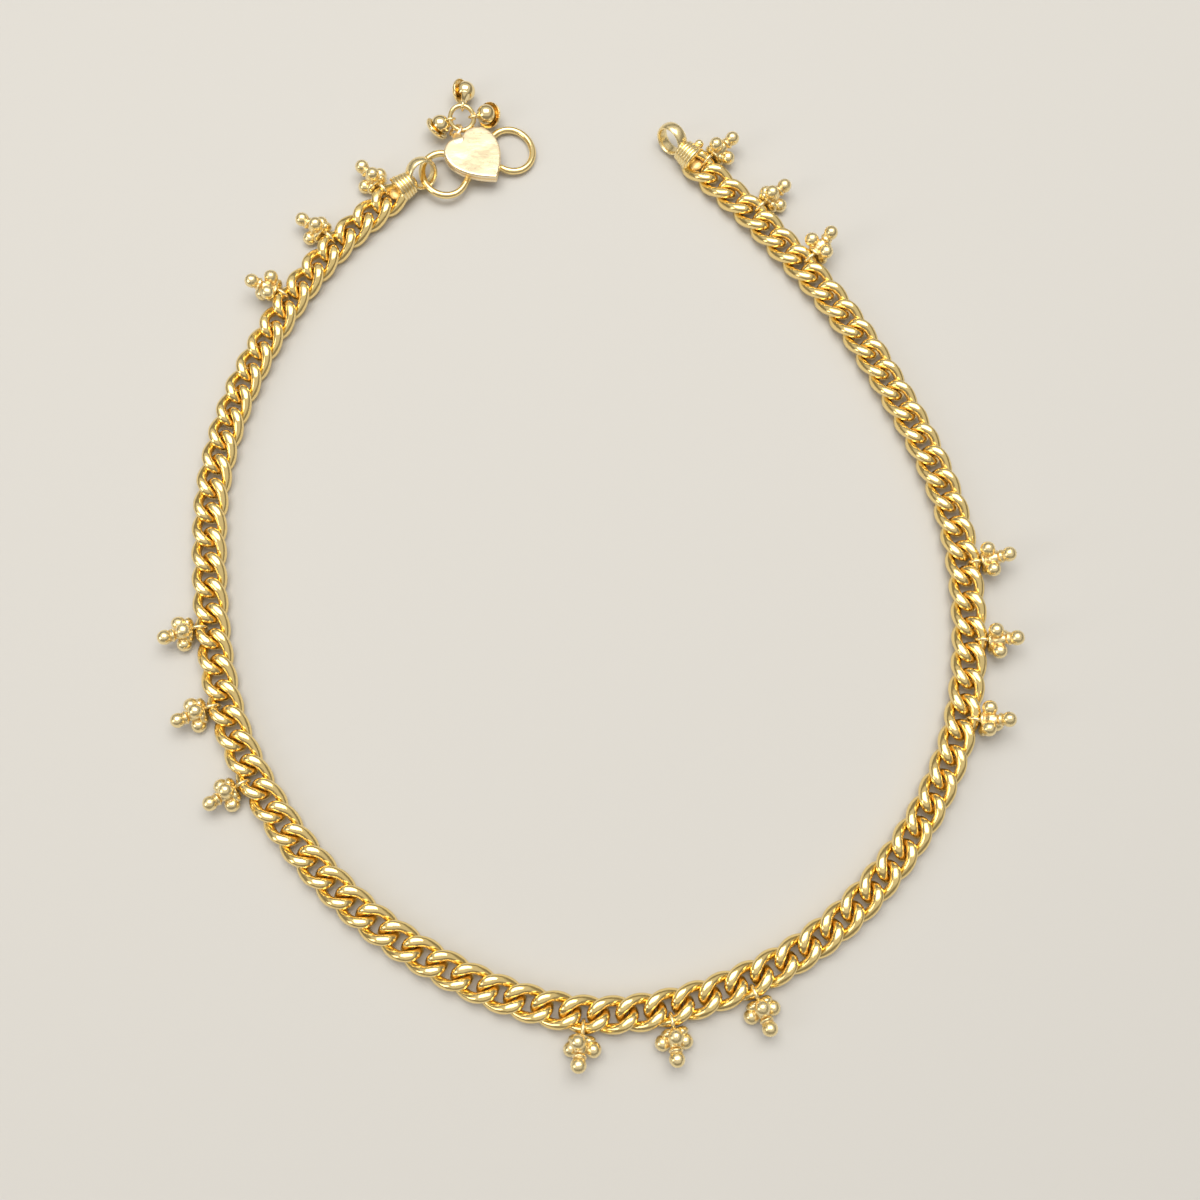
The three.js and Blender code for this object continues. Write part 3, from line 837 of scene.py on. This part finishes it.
def make_charms():
    sources = []
    for name, bm in (("charm_body", charm_body()), ("charm_eye", charm_eye())):
        mesh = bpy.data.meshes.new(name)
        bm.to_mesh(mesh)
        bm.free()
        sources.append(bpy.data.objects.new(name, mesh))
    tree = charms_tree()
    places = list(charm_places())
    for first in range(0, len(places), CHARMS_IN_GROUP):
        group = places[first : first + CHARMS_IN_GROUP]
        name = f"charm_group_{first // CHARMS_IN_GROUP + 1}"
        points = bpy.data.meshes.new(name + "_points")
        points.from_pydata([eye.translation for eye, _ in group], [], [])
        for part, which in (("eye", 0), ("body", 1)):
            turns = points.attributes.new("turn_" + part, "FLOAT_VECTOR", "POINT")
            for n, place in enumerate(group):
                turns.data[n].vector = place[which].to_euler()
        sizes = {"Body": sources[0], "Eye": sources[1], "Unevenness": CHARM_UNEVENNESS, "Finish": cast_gold}
        mesh = grown(name, points, tree, sizes)
        nodes = [f"charm_{n + 1:02d}" for n in range(first, first + len(group))]
        piece(name, mesh, cast_gold, nodes, CHARM_LIFT)
    for source in sources:
        bpy.data.objects.remove(source)


# ------------------------------------------------------------------ end caps


def collar_radius(along):
    """The collar's outer radius at a place along it."""
    share = (along - COLLAR["start"]) / (COLLAR["stop"] - COLLAR["start"])
    return COLLAR["wide"] + (COLLAR["narrow"] - COLLAR["wide"]) * max(share, 0)


def wound_collar():
    """A core with wire wound round it side by side, narrowing towards the ring."""
    half = COIL["wire"] / 2
    first, last = COIL["start"] + half, COLLAR["stop"] - half
    coil = []
    for n in range(COIL["steps"] + 1):
        share = n / COIL["steps"]
        along = first + (last - first) * share
        a = math.tau * COIL["turns"] * share + COIL["phase"]
        r = collar_radius(along) - half + COIL["wander"] * noise.noise(Vector((along * 2.5, 3.0, 1.0)))
        coil.append(Vector((along, r * math.cos(a), r * math.sin(a))))
    core = [(first, 0.0)]
    core += [(at, collar_radius(at) - COIL["sunk"]) for at in (first, (first + last) / 2, last)]
    core += [(COLLAR["stop"] + past, r) for past, r in COLLAR_TIP]
    return [swept(coil, half, sides=12), turned(core, 40)]


def band_ring(end):
    """A ring of half-round strip, flat inside and domed outside."""
    half, inner, outer, edge = BAND["width"] / 2, BAND["inner"], BAND["outer"], BAND["edge"]
    turns = [math.radians(d) for d in range(-90, 91, 10)]
    dome = [(half * math.sin(a), inner + edge + (outer - inner - edge) * math.cos(a) ** 0.8) for a in turns]
    across = (0.93, 0.8, 0.6, 0.3, 0, -0.3, -0.6, -0.8, -0.93)
    inside = [(half * x, inner + edge * abs(x) ** 4) for x in across]
    bm = turned([*dome, *inside, dome[0]], sides=72)
    axis = Vector((0, end["side"] * math.sin(end["lean"]), math.cos(end["lean"])))
    centre = (end["at"], 0, BAND["height"] - CHAIN_HEIGHT)
    return bm, frame_at(centre, axis, Vector((1, 0, 0)))


def make_end(name, node, end, chain, granule=None):
    """The collar and band ring that close the chain, and the solder that fills the end link beside them."""
    rise = COLLAR["height"] - CHAIN_HEIGHT
    swing = Matrix.Rotation(end["turn"], 4, "Z")
    ring, ring_frame = band_ring(end)
    lay = swing @ Matrix.Translation((0, 0, rise))
    shapes = [(shape, lay) for shape in wound_collar()] + [(ring, swing @ ring_frame)]
    solder = Matrix.Translation((SOLDER["at"], 0, 0)) @ Matrix.Diagonal(SOLDER["half"]).to_4x4()
    fill = ball(1.0, (0, 0, 0))
    # the fill is marked as a hollow, so the finish gives it painted shade and a duller shine
    mark = fill.verts.layers.float["hollow"]
    for vert in fill.verts:
        vert[mark] = SOLDER["hollow"]
    shapes.append((fill, solder))
    if granule:
        shapes.append(ball(granule["r"], (granule["at"], -granule["out"], rise + granule["up"])))
    piece(name, together(shapes), cast_gold, [node], chain)


def make_end_link(name, chain):
    """The soldered link at an end of the chain, made as the others are."""
    here = chain.translation
    along = chain.col[0].xyz * 5
    line = line_mesh(name + "_line", [here - along, here, here + along])
    sizes = {**LINK_SIZES, "Links": 1, "First link at": along.length, "Slack": 0.0, "Looseness": 0.0}
    piece(name, grown(name, line, links, sizes), chain_gold, [], LIFT)


# ------------------------------------------------------------------ clasp


def hook_frame():
    """The frame the hook lies in, turned in the floor and tilted down to the right."""
    turn, tilt = HOOK["turn"], HOOK["tilt"]
    x = (math.cos(turn) * math.cos(tilt), math.sin(turn) * math.cos(tilt), -math.sin(tilt))
    return frame_at(HOOK["at"], x)


def hook_line(steps=90):
    """The S of the hook, from the open end of the left loop to that of the right one."""
    turns = [HOOK_OPEN_END + (HOOK_BODY_END - HOOK_OPEN_END) * n / steps for n in range(steps + 1)]
    half = [Vector((HOOK_ALONG * math.cos(a) - HOOK_LOOP_AT, HOOK_ACROSS * math.sin(a), 0)) for a in turns]
    half += [half[-1] * (1 - n / 12) for n in range(1, 12)]
    # the loops pass into the slanting stretch without a corner
    return smoothed([*half, Vector((0, 0, 0)), *[-p for p in reversed(half)]], 14)


def bezier(a, b, c, d, steps=22):
    """A curve from a to d, without d, that leaves towards b and comes in from c."""
    points = []
    for n in range(steps):
        s = n / steps
        points.append((1 - s) ** 3 * a + 3 * (1 - s) ** 2 * s * b + 3 * (1 - s) * s**2 * c + s**3 * d)
    return points


def heart_outline():
    """Round the heart from its notch: X runs from the middle towards the tip."""
    top, length, half = -HEART["length"] / 2, HEART["length"], HEART["width"] / 2

    def at(down, wide):
        return Vector((top + down * length, wide * half, 0))

    notch = Vector((top + HEART["notch"], 0, 0))
    side = bezier(notch, at(-0.03, 0.16), at(-0.03, 0.95), at(0.3, 1))
    side += bezier(at(0.3, 1), at(0.62, 1.02), at(0.86, 0.42), at(1, 0))
    tip = at(1, 0)
    return side + [tip] + [Vector((p.x, -p.y, 0)) for p in reversed(side[1:])]


def heart_plate():
    """A plate with softly rounded edges, a fine bead along its upper edge and a bare face."""
    outline = heart_outline()
    count = len(outline)
    bottom, top = HEART["bottom"], HEART["bottom"] + HEART["thick"]
    # (how far in from the outline, height): out of the back, up the side, over the edge and in to the face
    steps = [
        (0.8, bottom),
        (0.22, bottom),
        (0.08, bottom + 0.04),
        (0.0, bottom + 0.16),
        (0.02, bottom + 0.4),
        (0.07, bottom + 0.56),
        (0.07, bottom + 0.66),
        (0.01, top - 0.32),
        (0.0, top - 0.22),
        (0.03, top - 0.12),
        (0.09, top - 0.04),
        (0.17, top - 0.005),
        (0.26, top),
        (0.5, top),
    ]
    middle = Vector((0.1, 0, 0))
    bm = bmesh.new()
    mark = bm.verts.layers.float.new("hollow")
    loops = []
    for inset, height in steps:
        loop = []
        drawn_in = inset / HEART["length"] * 2.1  # the share of the way to the middle that it comes to
        in_groove = HEART_GROOVE[0] < height - bottom < HEART_GROOVE[1]
        for point in outline:
            vert = bm.verts.new(point.lerp(middle, drawn_in) + Vector((0, 0, height)))
            # the groove gets a mark of 0.7, which the finish paints with shade and dulls; the rest gets 0.1
            vert[mark] = 0.7 if in_groove else 0.1
            loop.append(vert)
        loops.append(loop)
    for near, far in zip(loops, loops[1:]):
        for k in range(count):
            bm.faces.new((near[k], near[(k + 1) % count], far[(k + 1) % count], far[k]))
    closing = [bm.faces.new(loops[0]), bm.faces.new(loops[-1])]
    bmesh.ops.triangulate(bm, faces=closing)
    bmesh.ops.recalc_face_normals(bm, faces=bm.faces)
    return bm


def on_tassel_ring(to_x, to_y):
    """Where the tassel ring's wire runs in a direction, and which way it runs there."""
    facing = TASSEL["facing"].normalized()
    across = Vector((to_x, to_y, -(facing.x * to_x + facing.y * to_y) / facing.z)).normalized()
    return TASSEL["at"] + TASSEL["r"] * across, facing.cross(across)


def bail(heart):
    """A broad tab over the heart's shoulder by its notch, with an eye on its end for the tassel ring."""
    seat, across = on_tassel_ring(*BAIL["to"])
    out = (seat - TASSEL["at"]).normalized()
    centre = seat + out * BAIL["off"]
    along_ring, flatness = BAIL["facing"]
    axis = (across * (1 if across.z > 0 else -1) * along_ring + UP * flatness).normalized()
    eye = swept(circle(BAIL["r"], centre, axis, 56), BAIL["wire"] / 2, sides=16, closed=True)
    top = HEART["bottom"] + HEART["thick"]
    notch = HEART["notch"] - HEART["length"] / 2

    def on_heart(along, across, up):
        return heart @ Vector((notch + along, across, top + up))

    root, edge = on_heart(*BAIL["root"]), on_heart(*BAIL["edge"])
    down = (edge - centre).normalized()
    end = centre + (down - axis * down.dot(axis)).normalized() * (BAIL["r"] - BAIL["sunk"])
    line = [root.lerp(edge, n / 16) for n in range(16)] + [edge.lerp(end, n / 12) for n in range(13)]
    line = smoothed(line, 10)
    sideways = heart.col[1].xyz
    flat = (end - edge).cross(UP).normalized()
    flat = flat if flat.dot(sideways) > 0 else -flat
    wide = []
    for n in range(len(line)):
        share = n / (len(line) - 1)
        tongue = 1 - max(1 - (line[n] - root).length / BAIL["rounding"], 0.0) ** 2
        width = BAIL["wide"] * (1.0 - BAIL["narrowing"] * share**2) * max(tongue, 0.03) ** 0.5
        wide.append((sideways.lerp(flat, share).normalized(), width))
    return fused("heart_bail", [strip(line, wide, BAIL["thick"]), eye], voxel=0.05, rounds=3)


def make_clasp():
    lay = hook_frame()
    piece("hook_wire", swept(hook_line(), HOOK_WIRE / 2, sides=20), wire_gold, ["s_hook"], lay)
    heart = lay @ Matrix.Rotation(HEART["turn"], 4, "Z")
    piece("heart_plate", heart_plate(), plate_gold, ["s_hook"], heart)
    piece("heart_bail", bail(heart), plate_gold, ["s_hook"])


def make_tassel_ring():
    points = circle(TASSEL["r"], TASSEL["at"], TASSEL["facing"], 64)
    piece("drop_ring", swept(points, TASSEL["wire"] / 2, closed=True, hollow=0.1), wire_gold, ["tassel_ring"])


def saucer_profile(steps=14):
    """A thin dished disc behind the ball, opening towards it."""
    rim, sag, wall, seat = (SAUCER[k] for k in ("rim", "sag", "wall", "seat"))
    turns = [math.pi / 2 * n / steps for n in range(steps)]
    back = [(-seat - sag * math.cos(a), rim * math.sin(a)) for a in turns]
    front = [(x + wall, r * 0.94) for x, r in reversed(back)]
    lip = [(-seat + 0.02, rim), (-seat + 0.1, rim + 0.01), (-seat + 0.17, rim - 0.05)]
    return [*back, *lip, *front]


def stub_profile():
    """The knob on the saucer's back."""
    back, edge, front, r = (STUB[k] for k in ("back", "edge", "front", "r"))
    return [(back, 0.0), (back, STUB["tip"]), (edge, r), (front, r), (front, 0.0)]


def make_drop(name, place, facing, to_eye):
    """A ball before its saucer, a neck that thins towards the tassel ring, and the eye that hangs on the ring."""
    centre = Vector(place)
    seat, direction = on_tassel_ring(*to_eye)
    lay = frame_at(centre, Vector(facing).normalized())
    solid = [(turned(saucer_profile()), lay), (turned(stub_profile(), 24), lay), ball(DROP["ball"], centre)]
    neck_end = seat + (centre - seat).normalized() * DROP["eye"]
    thinning = [DROP["neck_root"] - DROP["neck_taper"] * math.sin(math.pi / 2 * n / 9) for n in range(10)]
    taper = [DROP["neck"] * share for share in thinning]
    solid.append(swept([centre.lerp(neck_end, n / 9) for n in range(10)], taper, sides=18))
    body = fused(name, solid, voxel=0.055, rounds=4)
    eye_line = circle(DROP["eye"], seat, direction, 48)
    eye = swept(eye_line, DROP["eye_wire"] / 2, sides=12, closed=True, hollow=0.15)
    piece(name.replace("drop", "ball_drop"), together([body, eye]), drop_gold, [name])


# ------------------------------------------------------------------ the anklet

make_chain()
make_charms()
left_frame = link_frame(0) @ Matrix.Rotation(math.pi, 4, "Z")
right_frame = link_frame(LINK_COUNT - 1)
make_end("left_collar_and_ring", "left_end_cap", LEFT_END, left_frame)
make_end("right_collar_and_ring", "right_end_cap", RIGHT_END, right_frame, GRANULE)
make_end_link("left_end_link", left_frame)
make_end_link("right_end_link", right_frame)
make_clasp()
make_tassel_ring()
for drop in DROPS:
    make_drop(*drop)


# ------------------------------------------------------------------ floor, light and camera


def make_floor(half=1.5):
    mesh = bpy.data.meshes.new("floor")
    corners = [(-half, -half, 0), (half, -half, 0), (half, half, 0), (-half, half, 0)]
    mesh.from_pydata(corners, [], [(0, 1, 2, 3)])
    floor = bpy.data.objects.new("floor", mesh)
    bpy.context.scene.collection.objects.link(floor)
    material = bpy.data.materials.new("Pale floor")
    material.use_nodes = True
    shader = material.node_tree.nodes["Principled BSDF"]
    shader.inputs["Base Color"].default_value = (0.62, 0.61, 0.59, 1)
    shader.inputs["Roughness"].default_value = 0.8
    mesh.materials.append(material)


def area_light(name, at, size, power, colour=(1, 1, 1), aim=(0, 0, 0)):
    light = bpy.data.lights.new(name, "AREA")
    light.shape, light.size, light.size_y = "RECTANGLE", *size
    light.energy, light.color = power, colour
    lamp = bpy.data.objects.new(name, light)
    bpy.context.scene.collection.objects.link(lamp)
    lamp.location = at
    lamp.rotation_euler = (Vector(at) - Vector(aim)).to_track_quat("Z", "Y").to_euler()


make_floor()
area_light("overhead_softbox", (0.0, 0.135, 0.5), (0.5, 0.34), 2.05, (1.0, 0.98, 0.93))
area_light("ceiling_panel", (0.0, 0.1, 0.9), (2.8, 2.8), 9.6, (1.0, 0.96, 0.9))
area_light("left_softbox", (-0.42, -0.16, 0.24), (0.16, 0.22), 0.35, (1.0, 0.95, 0.88))
world = bpy.data.worlds.new("Studio")
world.use_nodes = True
glow = world.node_tree.nodes["Background"].inputs
glow["Color"].default_value = (1.0, 0.94, 0.85, 1)
glow["Strength"].default_value = 0.25
bpy.context.scene.world = world
bpy.context.scene.view_settings.view_transform = "Standard"

camera_data = bpy.data.cameras.new("camera")
camera_data.sensor_width = 36
camera_data.lens = 43.5
camera_data.clip_start = 0.005
camera = bpy.data.objects.new("camera", camera_data)
camera.location = (0.00107, -0.04982, 0.15028)
camera.rotation_euler = (math.radians(15.7), 0, 0)
bpy.context.scene.collection.objects.link(camera)
bpy.context.scene.camera = camera
